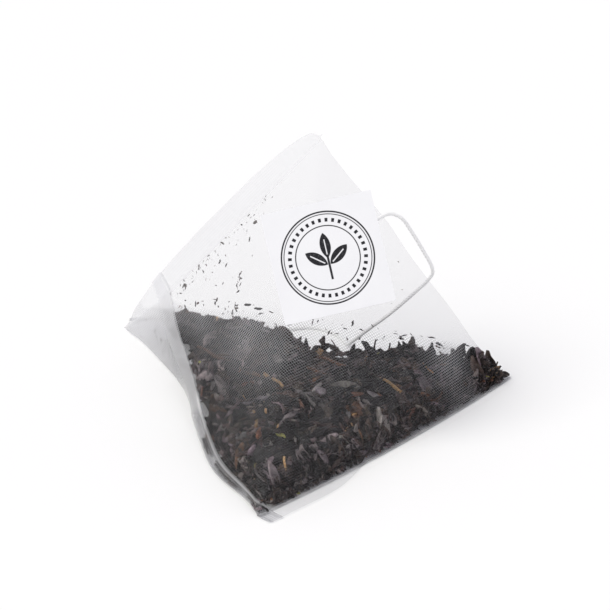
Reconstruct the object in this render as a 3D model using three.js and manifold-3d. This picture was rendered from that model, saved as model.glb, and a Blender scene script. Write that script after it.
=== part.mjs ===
// Pyramid tea bag. Millimetres, +Z up, standing on one of its four triangular faces.
//
// The bag is one strip of nylon mesh rolled into a tube. One end of the tube is welded flat
// from the rear corner up to the apex, the other from the front corner to the right corner,
// so the two end seals cross at right angles and the tube opens into a four-sided pyramid.
import * as THREE from "three";
import { LoftGeometry } from "three/addons/geometries/LoftGeometry.js";
import { mergeVertices } from "three/addons/utils/BufferGeometryUtils.js";
import Module from "manifold-3d";

// The four corners of the pyramid.
const APEX = new THREE.Vector3(0.6, 6.8, 54.4);
const REAR = new THREE.Vector3(-34.4, 32.5, 0);
const FRONT = new THREE.Vector3(-10.3, -32.8, 0);
const RIGHT = new THREE.Vector3(34.6, 15.6, 0);

// The film and its welds.
const WALL = 0.25; // stands for the woven film, which is thinner
const FIN_THICKNESS = 0.5; // two layers of film
const UPPER_FIN = 4;
const LOWER_FIN = 3;
const EDGE_RADIUS = 4; // the four side edges are soft folds
const EDGE_SHARE = 0.45; // the radius shrinks with the section near the seals
const ARC_STEPS = 4;
const TUBE_STATIONS = 22;
const LEAST_HALF = 0.02; // half the thickness of a hollow where the welds close it
const WEAVE_HOLE = 1; // one hole through the rear face stands for the open weave
const WEAVE_HOLE_AT = { along: 0.35, up: 0.55 };
const WEAVE_DRILL = { length: 8, sides: 12 };
const LAP_FROM_REAR = 0.22; // the long seam, as a share of the upper seal's length
const LAP_WIDTH = 4;
const LAP_END = 0.26; // how far down the tube the seam stays on the left face
const LAP_STANDS = 0.3;
const LAP_STATIONS = 6;

// The tea.
const CLEAR = 0.45; // kept between the tea and the film
const TEA_DEPTH = 5.0; // halfway along the bag
const TEA_BANK = 3.0; // how much deeper the tea lies at the rear corner than at the right one
const LARGE_HUMP = { height: 0.55, perX: 0.31, perY: 0.27, shift: 0.8 }; // radians per mm
const SMALL_HUMP = { height: 0.35, perX: -0.2, perY: 0.52 };
const TEA_EDGE = -26; // x; the film is pinched together behind this, so no tea lies there
const TEA_GRID = 2.6;
const BASE_REACH = 39; // past the base's furthest corner
const PIECE_COUNT = 32;
const STEM_EVERY = 4; // every fourth piece is a stem, the rest are leaves
const PIECE_SPACING = 5.5;
const PIECE_MARGIN = 6.5; // from the base's edges
const PIECE_FROM_EDGE = 4; // from the tea's rear edge
const PIECE_LIFT = 1.3; // of a piece's middle above the heap
const PIECE_BEND = 0.9; // the most; it varies from piece to piece
const BEND_STEP = 1.7; // radians
const PIECE_RINGS = 8;
const PIECE_SIDES = 6;
const PIECE_TIP = 0.22; // girth at a piece's point, as a share of its middle
const PIECE_CUT = 0.06; // how much of a piece's taper is broken off at each end
const PIECE_TAPER = 0.7; // less makes a piece fuller
const GOLDEN_ANGLE = 2.4; // radians; no two neighbours lie the same way
const LEAF = { length: 5, width: 1.6, thickness: 0.8, twist: 1.4 };
const STEM = { length: 5.4, width: 0.8, thickness: 0.8, twist: 0.3 };

// The tag and its thread.
const TAG_SIDE = 20;
const TAG_THICKNESS = 0.3;
const TAG_CENTRE = new THREE.Vector3(1.9, -5.3, 36.7);
const TAG_LEAN = THREE.MathUtils.degToRad(34); // from upright, to lie on the front edge
const TAG_TURN = THREE.MathUtils.degToRad(13);
const THREAD_DIAMETER = 0.7;
const THREAD_SIDES = 8;
const THREAD_STEPS = 80;
const THREAD_ROUTE = [
  [-34.9, 34.3, 1.4],
  [-33.8, 35.6, 0.6],
  [-30.4, 36.8, 0.42],
  [-25.4, 36.6, 0.42],
  [-20.4, 34.2, 0.42],
  [-15.6, 31.0, 0.42],
  [-10.6, 30.2, 0.42],
  [-5.6, 32.2, 0.42],
  [-0.6, 33.0, 0.42],
  [3.6, 30.4, 0.42],
  [5.6, 26.4, 0.7],
  [6.6, 23.4, 3.0],
  [9.4, 20.8, 7.0],
  [13.2, 18.1, 11.8],
  [17.0, 15.6, 17.0],
  [20.2, 13.7, 21.6],
  [20.8, 12.6, 24.4],
  [18.9, 12.0, 28.8],
  [16.9, 11.3, 32.8],
  [15.2, 10.6, 35.8],
  [13.0, 9.4, 37.4],
  [10.6, 5.8, 38.2],
  [8.2, 1.4, 38.6],
  [6.4, -1.8, 38.3],
  [4.4, -3.45, 38.0],
];

const wasm = await Module();
wasm.setup();

const upperSeal = APEX.clone().sub(REAR);
const lowerSeal = RIGHT.clone().sub(FRONT);
const upperMiddle = APEX.clone().add(REAR).multiplyScalar(0.5);
const lowerMiddle = FRONT.clone().add(RIGHT).multiplyScalar(0.5);
const tubeLength = upperMiddle.distanceTo(lowerMiddle);
const acrossUpper = upperSeal.clone().normalize();
const acrossLower = lowerSeal.clone().normalize();
const outOfUpper = upperMiddle.clone().sub(lowerMiddle).normalize();
const outOfLower = new THREE.Vector3(acrossLower.y, -acrossLower.x, 0).normalize();

// The tube's cross-section at v, from 0 at the upper seal to 1 at the lower one: a rectangle
// that narrows one way as it widens the other. Beyond the seals it is a flat fin.
function tubeFrame(v, inset = 0) {
  const s = THREE.MathUtils.clamp(v, 0, 1);
  const least = FIN_THICKNESS / 2;
  const outerWide = Math.max((s * lowerSeal.length()) / 2, least);
  const outerTall = Math.max(((1 - s) * upperSeal.length()) / 2, least);
  const centre = REAR.clone().lerp(lowerMiddle, s).addScaledVector(acrossUpper, outerTall);
  if (v < 0) centre.addScaledVector(outOfUpper, -v * tubeLength);
  if (v > 1) centre.addScaledVector(outOfLower, (v - 1) * tubeLength);
  return {
    centre,
    wide: Math.max(outerWide - inset, LEAST_HALF),
    tall: Math.max(outerTall - inset, LEAST_HALF),
  };
}

function onSection({ centre }, x, y) {
  return centre.clone().addScaledVector(acrossLower, x).addScaledVector(acrossUpper, y);
}

function tubeSection(v, inset = 0) {
  const frame = tubeFrame(v, inset);
  const radius = Math.min(EDGE_RADIUS, EDGE_SHARE * frame.wide, EDGE_SHARE * frame.tall);
  const points = [];
  for (let corner = 0; corner < 4; corner++) {
    const x = corner === 0 || corner === 3 ? 1 : -1;
    const y = corner < 2 ? 1 : -1;
    for (let step = 0; step <= ARC_STEPS; step++) {
      const angle = ((corner + step / ARC_STEPS) * Math.PI) / 2;
      points.push(
        onSection(
          frame,
          x * (frame.wide - radius) + radius * Math.cos(angle),
          y * (frame.tall - radius) + radius * Math.sin(angle),
        ),
      );
    }
  }
  return points;
}

function loft(sections) {
  return new LoftGeometry(sections, { capStart: true, capEnd: true });
}

// The stations are close together near the seals, where the section changes fastest.
function stations(from, to, count) {
  return Array.from({ length: count + 1 }, (_, i) => {
    const eased = (1 - Math.cos((Math.PI * i) / count)) / 2;
    return THREE.MathUtils.lerp(from, to, eased);
  });
}

function tubeSolid(inset) {
  const narrowest = (2 * inset) / Math.min(upperSeal.length(), lowerSeal.length());
  const run = stations(narrowest, 1 - narrowest, TUBE_STATIONS);
  const spread = inset ? run : [-UPPER_FIN / tubeLength, ...run, 1 + LOWER_FIN / tubeLength];
  return solidOf(loft(spread.map((v) => tubeSection(v, inset))));
}

function solidOf(geometry) {
  const bare = new THREE.BufferGeometry()
    .setAttribute("position", geometry.getAttribute("position"))
    .setIndex(geometry.index);
  const merged = mergeVertices(bare, 1e-4);
  return new wasm.Manifold(
    new wasm.Mesh({
      numProp: 3,
      vertProperties: merged.attributes.position.array,
      triVerts: new Uint32Array(merged.index.array),
    }),
  );
}

function geometryOf(solid) {
  const { numProp, vertProperties, triVerts } = solid.getMesh();
  const positions = new Float32Array((vertProperties.length / numProp) * 3);
  for (let i = 0; i * numProp < vertProperties.length; i++)
    positions.set(vertProperties.subarray(i * numProp, i * numProp + 3), i * 3);
  return new THREE.BufferGeometry()
    .setAttribute("position", new THREE.BufferAttribute(positions, 3))
    .setIndex(new THREE.BufferAttribute(triVerts, 1));
}

// The long seam: both edges of the strip welded together and folded flat on the left face.
function lapSeam() {
  const fromMiddle = (0.5 - LAP_FROM_REAR) * upperSeal.length();
  const near = LAP_WIDTH / 2 - fromMiddle;
  const far = -LAP_WIDTH / 2 - fromMiddle;
  const sections = stations(0, LAP_END, LAP_STATIONS).map((v) => {
    const frame = tubeFrame(v);
    const outside = -frame.wide - LAP_STANDS;
    const inWall = -frame.wide + WALL / 2;
    const corners = [[outside, near], [outside, far], [inWall, far], [inWall, near]];
    return corners.map(([x, y]) => onSection(frame, x, y));
  });
  return solidOf(loft(sections));
}

function weaveHole() {
  const point = APEX.clone()
    .lerp(RIGHT, WEAVE_HOLE_AT.along)
    .lerp(REAR.clone().lerp(RIGHT, WEAVE_HOLE_AT.along), WEAVE_HOLE_AT.up);
  const outward = new THREE.Vector3().crossVectors(
    RIGHT.clone().sub(APEX),
    REAR.clone().sub(APEX),
  );
  const { length, sides } = WEAVE_DRILL;
  const drill = new THREE.CylinderGeometry(WEAVE_HOLE / 2, WEAVE_HOLE / 2, length, sides);
  const up = new THREE.Vector3(0, 1, 0);
  const turn = new THREE.Quaternion().setFromUnitVectors(up, outward.normalize());
  drill.applyQuaternion(turn).translate(point.x, point.y, point.z);
  return solidOf(drill);
}

function meshBag() {
  const outside = tubeSolid(0).add(lapSeam());
  return geometryOf(outside.subtract(tubeSolid(WALL)).subtract(weaveHole()));
}

// How high the loose tea stands at a place on the floor: a bank that falls away towards the
// right corner, with low humps.
function teaHeight(x, y) {
  const towardRear = THREE.MathUtils.clamp((RIGHT.x - x) / (RIGHT.x - REAR.x), 0, 1);
  const large = LARGE_HUMP.height * Math.sin(x * LARGE_HUMP.perX + LARGE_HUMP.shift);
  const small = SMALL_HUMP.height * Math.sin(x * SMALL_HUMP.perX + y * SMALL_HUMP.perY);
  return TEA_DEPTH + TEA_BANK * (towardRear - 0.5) + large * Math.cos(y * LARGE_HUMP.perY) + small;
}

function ticks(from, to) {
  const count = Math.round((to - from) / TEA_GRID);
  return Array.from({ length: count + 1 }, (_, i) => THREE.MathUtils.lerp(from, to, i / count));
}

function teaHeap() {
  const below = -1; // under the floor, so that the film's inside cuts the bank's foot
  const slices = ticks(TEA_EDGE, BASE_REACH).map((x) => [
    ...ticks(-BASE_REACH, BASE_REACH).map((y) => new THREE.Vector3(x, y, teaHeight(x, y))),
    new THREE.Vector3(x, BASE_REACH, below),
    new THREE.Vector3(x, -BASE_REACH, below),
  ]);
  const bank = solidOf(loft(slices.map((points) => points.reverse())));
  return geometryOf(tubeSolid(WALL + CLEAR).intersect(bank));
}

// A rolled leaf or a stalk: a tapering body that bends and twists along its length.
function rolledPiece({ length, width, thickness, twist }, bend, turn) {
  const sections = Array.from({ length: PIECE_RINGS + 1 }, (_, i) => {
    const t = i / PIECE_RINGS;
    const along = THREE.MathUtils.lerp(PIECE_CUT, 1 - PIECE_CUT, t);
    const fullness = Math.sin(Math.PI * along) ** PIECE_TAPER;
    const girth = THREE.MathUtils.lerp(PIECE_TIP, 1, fullness);
    const sway = bend * Math.sin(Math.PI * t);
    return Array.from({ length: PIECE_SIDES }, (_, k) => {
      const angle = (2 * Math.PI * k) / PIECE_SIDES;
      const across = (girth * width * Math.cos(angle)) / 2;
      const up = (girth * thickness * Math.sin(angle)) / 2;
      const roll = twist * turn * (t - 0.5);
      return new THREE.Vector3(
        (t - 0.5) * length,
        sway + across * Math.cos(roll) - up * Math.sin(roll),
        across * Math.sin(roll) + up * Math.cos(roll),
      );
    });
  });
  return loft(sections);
}

// Places on the floor for the larger pieces: a triangular lattice clipped to the base.
function piecePlaces() {
  const places = [];
  const base = [REAR, FRONT, RIGHT];
  const inside = (x, y) =>
    base.every((a, i) => {
      const b = base[(i + 1) % 3];
      const length = a.distanceTo(b);
      return ((b.x - a.x) * (y - a.y) - (b.y - a.y) * (x - a.x)) / length > PIECE_MARGIN;
    });
  const rows = Math.ceil(BASE_REACH / PIECE_SPACING) + 1;
  for (let row = -rows; row <= rows; row++)
    for (let column = -rows; column <= rows; column++) {
      const x = (column + (row % 2 ? 0.5 : 0)) * PIECE_SPACING;
      const y = (row * PIECE_SPACING * Math.sqrt(3)) / 2;
      if (inside(x, y) && x > TEA_EDGE + PIECE_FROM_EDGE) places.push([x, y]);
    }
  return places;
}

const material = (color, roughness, options = {}) =>
  new THREE.MeshStandardMaterial({ color, roughness, metalness: 0, ...options });

function named(name, geometry, look) {
  const mesh = new THREE.Mesh(geometry, look);
  mesh.name = name;
  return mesh;
}

function thread() {
  const path = new THREE.CatmullRomCurve3(THREAD_ROUTE.map((p) => new THREE.Vector3(...p)));
  const section = new THREE.Shape();
  for (let i = 0; i < THREAD_SIDES; i++) {
    const angle = (2 * Math.PI * i) / THREAD_SIDES;
    const at = [Math.cos(angle), Math.sin(angle)].map((c) => (c * THREAD_DIAMETER) / 2);
    if (i) section.lineTo(...at);
    else section.moveTo(...at);
  }
  return new THREE.ExtrudeGeometry(section, { steps: THREAD_STEPS, extrudePath: path });
}

function tag() {
  const mesh = named(
    "tag",
    new THREE.BoxGeometry(TAG_SIDE, TAG_SIDE, TAG_THICKNESS),
    material(0xf4f4f2, 0.85),
  );
  mesh.rotation.z = TAG_TURN;
  const rest = new THREE.Group();
  rest.rotation.x = Math.PI / 2 - TAG_LEAN;
  rest.position.copy(TAG_CENTRE);
  rest.add(mesh);
  return rest;
}

function looseTea() {
  const tea = new THREE.Group();
  const made = { leaf: 0, stem: 0 };
  piecePlaces()
    .slice(0, PIECE_COUNT)
    .forEach(([x, y], i) => {
      const kind = i % STEM_EVERY === 2 ? "stem" : "leaf";
      const size = kind === "stem" ? STEM : LEAF;
      const look = kind === "stem" ? material(0x9a7a4a, 0.9) : material(0x2a1d1c, 0.8);
      const bend = PIECE_BEND * Math.sin(i * BEND_STEP);
      const shape = rolledPiece(size, bend, Math.cos(i));
      made[kind] += 1;
      const piece = named(`${kind}_${String(made[kind]).padStart(2, "0")}`, shape, look);
      piece.position.set(x, y, teaHeight(x, y) + PIECE_LIFT);
      piece.rotation.z = i * GOLDEN_ANGLE;
      tea.add(piece);
    });
  return tea;
}

const teaBag = new THREE.Group();
teaBag.add(
  named(
    "mesh_bag",
    meshBag(),
    material(0xf0f0f2, 0.6, { transparent: true, opacity: 0.45, side: THREE.DoubleSide }),
  ),
  named("tea_heap", teaHeap(), material(0x241a1a, 0.9)),
  looseTea(),
  named("thread", thread(), material(0xf2f1ee, 0.9)),
  tag(),
);

export default teaBag;
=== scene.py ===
import math
import random

import bmesh
import bpy
import numpy as np
from mathutils import Matrix, Vector, noise
from mathutils.bvhtree import BVHTree


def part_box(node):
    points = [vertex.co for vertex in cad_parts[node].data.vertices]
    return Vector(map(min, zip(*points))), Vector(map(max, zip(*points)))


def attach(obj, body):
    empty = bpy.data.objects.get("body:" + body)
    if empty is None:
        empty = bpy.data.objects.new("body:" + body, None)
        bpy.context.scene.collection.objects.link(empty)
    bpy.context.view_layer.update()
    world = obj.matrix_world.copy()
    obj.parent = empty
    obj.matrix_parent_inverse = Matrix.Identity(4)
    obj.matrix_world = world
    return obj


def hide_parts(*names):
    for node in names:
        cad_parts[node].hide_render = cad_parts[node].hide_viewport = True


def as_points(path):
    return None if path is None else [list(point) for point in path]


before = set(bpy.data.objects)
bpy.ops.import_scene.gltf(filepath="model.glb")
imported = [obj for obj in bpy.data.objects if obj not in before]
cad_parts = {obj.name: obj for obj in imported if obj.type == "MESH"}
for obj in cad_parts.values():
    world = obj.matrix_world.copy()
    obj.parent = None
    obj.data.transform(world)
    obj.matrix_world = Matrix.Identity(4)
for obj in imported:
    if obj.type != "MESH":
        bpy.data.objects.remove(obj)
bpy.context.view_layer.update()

MM = 0.001


def mm(*values):
    return Vector(values) * MM


# ---------------- camera

CAMERA_AIM = mm(-2.15, 5.6, 20.86)
CAMERA_ELEVATION = math.radians(29.8)
CAMERA_DISTANCE = 1.0
CAMERA_LENS = 329
SENSOR_WIDTH = 36


def add_camera():
    data = bpy.data.cameras.new("camera")
    data.sensor_width = SENSOR_WIDTH
    data.lens = CAMERA_LENS
    data.clip_start, data.clip_end = 0.05, 20
    camera = bpy.data.objects.new("camera", data)
    back = Vector((0, -math.cos(CAMERA_ELEVATION), math.sin(CAMERA_ELEVATION)))
    camera.location = CAMERA_AIM + back * CAMERA_DISTANCE
    camera.rotation_euler = (-back).to_track_quat("-Z", "Y").to_euler()
    bpy.context.scene.collection.objects.link(camera)
    bpy.context.scene.camera = camera


add_camera()


# ---------------- materials


class Amount:
    """A socket in a node tree, so that sums over a surface are written as plain sums."""

    def __init__(self, finish, socket):
        self.finish, self.socket = finish, socket

    def _math(self, operation, *values):
        return self.finish.node("Math", {"operation": operation}, dict(enumerate(values)))

    def __add__(self, other):
        return self._math("ADD", self, other)

    def __radd__(self, other):
        return self._math("ADD", other, self)

    def __sub__(self, other):
        return self._math("SUBTRACT", self, other)

    def __rsub__(self, other):
        return self._math("SUBTRACT", other, self)

    def __mul__(self, other):
        return self._math("MULTIPLY", self, other)

    def __rmul__(self, other):
        return self._math("MULTIPLY", other, self)

    def __pow__(self, other):
        return self._math("POWER", self, other)

    def __abs__(self):
        return self._math("ABSOLUTE", self)

    def cosine(self):
        return self._math("COSINE", self)

    def sine(self):
        return self._math("SINE", self)

    def root(self):
        return self._math("SQRT", self)

    def above(self, other):
        return self._math("GREATER_THAN", self, other)

    def larger(self, other):
        return self._math("MAXIMUM", self, other)

    def smaller(self, other):
        return self._math("MINIMUM", self, other)

    def ramp(self, low, high, start=0.0, end=1.0):
        """Goes smoothly from start to end as this goes from low to high."""
        return self.finish.node(
            "MapRange",
            {"interpolation_type": "SMOOTHSTEP"},
            {"Value": self, "From Min": low, "From Max": high, "To Min": start, "To Max": end},
        )


class Finish:
    """A material in the making."""

    def __init__(self, name):
        self.material = bpy.data.materials.new(name)
        self.material.use_nodes = True
        self.tree = self.material.node_tree
        self.tree.nodes.clear()

    def node(self, kind, settings=None, inputs=None, output=0):
        """Adds a node: its settings first, then the values or links of its sockets."""
        made = self.tree.nodes.new("ShaderNode" + kind)
        for name, value in (settings or {}).items():
            setattr(made, name, value)
        for name, value in (inputs or {}).items():
            if isinstance(value, Amount):
                self.tree.links.new(value.socket, made.inputs[name])
            else:
                made.inputs[name].default_value = value
        return Amount(self, made.outputs[output])

    def place(self):
        return self.node("TexCoord", output="Object")

    def uv(self, name):
        """The two coordinates of a UV map, in metres."""
        both = self.node("UVMap", {"uv_map": name})
        return [self.node("SeparateXYZ", {}, {0: both}, axis) for axis in "XY"]

    def noise(self, where, scale, detail=2.0, roughness=0.5):
        sockets = {"Vector": where, "Scale": scale, "Detail": detail, "Roughness": roughness}
        return self.node("TexNoise", {}, sockets)

    def blend(self, factor, first, second):
        """A colour between two."""
        return self.node("Mix", {"data_type": "RGBA"}, {0: factor, 6: first, 7: second}, 2)

    def bump(self, height, distance, strength):
        sockets = {"Height": height, "Distance": distance, "Strength": strength}
        return self.node("Bump", {}, sockets)

    def attribute(self, name, part="Fac"):
        return self.node("Attribute", {"attribute_name": name}, {}, part)

    def surface(self, shader):
        out = self.tree.nodes.new("ShaderNodeOutputMaterial")
        self.tree.links.new(shader.socket, out.inputs["Surface"])
        return self.material


def grey(value, blue=0.0):
    return (value, value, value + blue, 1.0)


WEAVE_PITCH = 0.48 * MM
STRAND_SHARPNESS = 6.0
GAP_COVER = 0.004
HAZE_COVER = 0.012
EVEN_COVER, EVEN_WEAVE = 0.12, 0.03  # where the weave is lost against white
FUSED_COVER, FUSED_WEAVE = 0.88, 0.12  # where layers are pressed together
# The second strand grey is painted shade, given to strands in front of the tea.
STRAND_BRIGHT, STRAND_SHADED = grey(0.96, 0.01), grey(0.38, 0.01)
STRAND_GLOW = grey(0.97, 0.01)  # the light that a strand lets through
FILM_CLEAR = 0.972  # how much light one layer lets straight through


def nylon_mesh():
    """A fine plain weave of white nylon: strands that let some light through, and open gaps."""
    film = Finish("nylon_mesh")
    across, along = film.uv("weave")

    def strands(position):
        wave = (position * (2 * math.pi / WEAVE_PITCH)).cosine() * 0.5 + 0.5
        return wave ** STRAND_SHARPNESS

    warp, weft = strands(across), strands(along)
    weave = warp.larger(weft)
    half_wave = math.pi / WEAVE_PITCH
    over = (across * half_wave).sine() * (along * half_wave).sine()
    upper_weld = abs(along).ramp(0.25 * MM, 0.8 * MM, 0.3, 0)
    lower_weld = abs(along - STRIP_HEIGHT).ramp(0.05 * MM, 0.3 * MM, 0.8, 0)
    weld = upper_weld.larger(lower_weld)
    # The cover is scaled by light and shade painted on the strands, per vertex.
    painted_catch, plain, fused = (film.attribute(name) for name in ("painted_catch", "plain", "fused"))
    # Painted shade: strands are darker where the film is in front of the tea, and slightly darker
    # where layers are pressed together.
    painted_shade = (fused * 0.2).larger(1 - plain.larger(fused))
    haze = film.noise(film.place(), 160.0, 3.0).ramp(0.35, 0.75, 0.0, HAZE_COVER)
    woven = (weave + GAP_COVER + haze) * painted_catch
    even = (weave * EVEN_WEAVE + EVEN_COVER + haze) * painted_catch
    cover = woven * (1 - plain) + even * plain
    cover = cover.larger(fused * (weave * FUSED_WEAVE + FUSED_COVER)).larger(weld)
    relief = (over.above(0.0) * warp + (1 - over.above(0.0)) * weft).larger(weave * 0.6)
    strand = film.node(
        "BsdfPrincipled",
        {},
        {
            "Base Color": film.blend(painted_shade, STRAND_BRIGHT, STRAND_SHADED),
            "Roughness": 0.42,
            "IOR": 1.5,
            "Normal": film.bump(relief, 0.03 * MM, 0.25),
        },
    )
    through = film.node("BsdfTranslucent", {}, {"Color": STRAND_GLOW})
    solid = film.node("MixShader", {}, {0: 0.5, 1: strand, 2: through})
    clear = film.node("BsdfTransparent", {}, {"Color": grey(FILM_CLEAR, 0.003)})
    return film.surface(film.node("MixShader", {}, {0: cover.smaller(1.0), 1: clear, 2: solid}))


def dry_leaf(name, streak=1.0):
    """Rolled, dried leaf. Each piece brings its own colour as an attribute."""
    leaf = Finish(name)
    own = leaf.attribute("leaf_colour", "Color")
    where = leaf.place()
    coarse = leaf.noise(where, 900.0, 4.0, 0.6)
    fine = leaf.noise(where, 3800.0, 3.0, 0.6)
    shade = coarse.ramp(0.3, 0.75, 0.55, 1.5 * streak)
    colour = leaf.node("VectorMath", {"operation": "SCALE"}, {0: own, "Scale": shade}, "Vector")
    height = coarse * 0.7 + fine * 0.3
    shader = leaf.node(
        "BsdfPrincipled",
        {},
        {
            "Base Color": colour,
            "Roughness": fine.ramp(0.3, 0.7, 0.45, 0.75),
            "Specular IOR Level": 0.35,
            "Normal": leaf.bump(height, 0.12 * MM, 0.7),
        },
    )
    return leaf.surface(shader)


def twisted_cotton():
    cotton = Finish("twisted_cotton")
    fibre = cotton.noise(cotton.place(), 5200.0, 4.0, 0.7)
    tone = cotton.blend(fibre.ramp(0.3, 0.7), grey(0.93, -0.008), grey(0.99, -0.004))
    shader = cotton.node(
        "BsdfPrincipled",
        {},
        {
            "Base Color": tone,
            "Roughness": 0.9,
            "Sheen Weight": 0.4,
            "Normal": cotton.bump(fibre, 0.06 * MM, 0.6),
        },
    )
    return cotton.surface(shader)


INK = (0.012, 0.012, 0.016, 1)
PAPER = (0.83, 0.83, 0.852, 1)
PAPER_CLOUD = (0.81, 0.81, 0.834, 1)
# The print, in millimetres: each ring's radius and half its line's width.
RINGS = [(8.2, 0.14), (7.75, 0.08), (5.7, 0.1)]
DASHED_RING = (6.72, 0.34)
DASHES = 36.0


def tag_paper(printed):
    """Uncoated white card. The printed side has rings round a sprig of three leaves."""
    paper = Finish("tag_print" if printed else "tag_card")
    where = paper.place()
    pulp = paper.noise(where, 2600.0, 5.0, 0.7)
    cloud = paper.noise(where, 220.0, 3.0)
    tone = paper.blend(cloud.ramp(0.3, 0.7), PAPER, PAPER_CLOUD)
    if printed:
        x, y = paper.uv("face")
        edge = 0.05 * MM

        def inside(amount):
            """1 where a signed distance is below zero, with a soft edge of ink."""
            return amount.ramp(-edge, edge, 1, 0)

        def disc(cx, cy, radius):
            dx, dy = x - cx * MM, y - cy * MM
            return (dx * dx + dy * dy).root() - radius * MM

        def leaf(cx, cy, tilt, length, width):
            """A pointed leaf: where two discs overlap."""
            radius = (length * length / width + width) / 4
            shift = radius - width / 2
            c, s = math.cos(tilt), math.sin(tilt)
            return disc(cx - s * shift, cy + c * shift, radius).larger(
                disc(cx + s * shift, cy - c * shift, radius)
            )

        def bar(x0, y0, x1, y1, width):
            length = math.hypot(x1 - x0, y1 - y0)
            c, s = (x1 - x0) / length, (y1 - y0) / length
            mx, my = (x0 + x1) / 2, (y0 + y1) / 2
            dx, dy = x - mx * MM, y - my * MM
            lengthwise = abs(dx * c + dy * s) - length / 2 * MM
            sideways = abs(dy * c - dx * s) - width / 2 * MM
            return lengthwise.larger(sideways)

        from_middle = disc(0, 0, 0)

        def ring(radius, half_width):
            return inside(abs(from_middle - radius * MM) - half_width * MM)

        turn = paper.node("Math", {"operation": "ARCTAN2"}, {0: y, 1: x})
        dashes = (turn * DASHES).cosine().ramp(0.0, 0.35)
        ink = ring(*DASHED_RING) * dashes
        for line in RINGS:
            ink = ink.larger(ring(*line))
        sprig = [
            leaf(0, 2.2, math.pi / 2, 4.6, 1.9),
            leaf(-2.0, 0.2, math.radians(142), 4.5, 2.0),
            leaf(2.0, 0.2, math.radians(38), 4.5, 2.0),
            bar(0, -3.9, 0, 0.6, 0.4),
        ]
        veins = [
            bar(0, 0.6, 0, 3.3, 0.18),
            bar(-0.7, -0.85, -3.0, 0.92, 0.2),
            bar(0.7, -0.85, 3.0, 0.92, 0.2),
        ]
        for shape in sprig:
            ink = ink.larger(inside(shape))
        for line in veins:
            ink = ink * (1 - inside(line))
        worn = pulp.ramp(0.25, 0.5, 0.9, 1.0)
        tone = paper.blend(ink * worn, tone, INK)
    shader = paper.node(
        "BsdfPrincipled",
        {},
        {
            "Base Color": tone,
            "Roughness": 0.82,
            "Specular IOR Level": 0.3,
            "Normal": paper.bump(pulp, 0.03 * MM, 0.35),
        },
    )
    return paper.surface(shader)


def studio_floor():
    floor = Finish("studio_floor")
    tone = floor.noise(floor.place(), 3.0, 2.0).ramp(0.3, 0.7)
    shader = floor.node(
        "BsdfPrincipled",
        {},
        {
            "Base Color": floor.blend(tone, grey(0.93), grey(0.94)),
            "Roughness": 0.95,
            "Specular IOR Level": 0.0,
        },
    )
    return floor.surface(shader)


# ---------------- making pieces


def finished(name, shape, *materials, smooth=True):
    """Turns a bmesh into an object in the scene."""
    mesh = bpy.data.meshes.new(name)
    shape.to_mesh(mesh)
    shape.free()
    return placed(name, mesh, *materials, smooth=smooth)


def placed(name, mesh, *materials, smooth=True):
    for material in materials:
        mesh.materials.append(material)
    mesh.polygons.foreach_set("use_smooth", [smooth] * len(mesh.polygons))
    piece = bpy.data.objects.new(name, mesh)
    bpy.context.scene.collection.objects.link(piece)
    return piece


def sweep(rings, sides, place):
    """A closed rod: a ring's face is extruded from one station to the next."""
    shape = bmesh.new()
    bmesh.ops.create_circle(shape, segments=sides, radius=1, cap_ends=True)
    shape.faces.ensure_lookup_table()
    face = shape.faces[0]
    first = list(face.edges)
    for k, vert in enumerate(face.verts):
        vert.co = place(0, k)
    for i in range(1, rings):
        face = bmesh.ops.extrude_discrete_faces(shape, faces=[face])["faces"][0]
        for k, vert in enumerate(face.verts):
            vert.co = place(i, k)
    bmesh.ops.holes_fill(shape, edges=first, sides=sides)
    bmesh.ops.recalc_face_normals(shape, faces=shape.faces)
    return shape


SPAN_STEPS = 12


def smooth_line(points, spacing, lowest):
    """A Catmull-Rom line through the points, with even spacing, that stays off the floor."""
    line = []
    padded = [points[0] * 2 - points[1], *points, points[-1] * 2 - points[-2]]
    for a, b, c, d in zip(padded, padded[1:], padded[2:], padded[3:]):
        for step in range(SPAN_STEPS):
            t = step / SPAN_STEPS
            slope, curve, turn = c - a, 2 * a - 5 * b + 4 * c - d, 3 * b - a - 3 * c + d
            line.append(0.5 * (2 * b + slope * t + curve * t * t + turn * t ** 3))
    line.append(points[-1].copy())
    for point in line:
        point.z = max(point.z, lowest)
    marks = [0.0]
    for p, q in zip(line, line[1:]):
        marks.append(marks[-1] + (q - p).length)
    count = max(2, round(marks[-1] / spacing))
    even, k = [], 0
    for i in range(count + 1):
        want = marks[-1] * i / count
        while k < len(marks) - 2 and marks[k + 1] < want:
            k += 1
        share = (want - marks[k]) / (marks[k + 1] - marks[k])
        even.append(line[k].lerp(line[k + 1], min(max(share, 0), 1)))
    return even


def frames_along(line):
    """For each point, two directions square to the line that don't spin about it."""
    out = []
    side = Vector((0, 0, 1))
    for i in range(len(line)):
        ahead = (line[min(i + 1, len(line) - 1)] - line[max(i - 1, 0)]).normalized()
        side = (side - ahead * side.dot(ahead)).normalized()
        out.append((side.copy(), ahead.cross(side)))
    return out


# ---------------- thread

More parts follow.
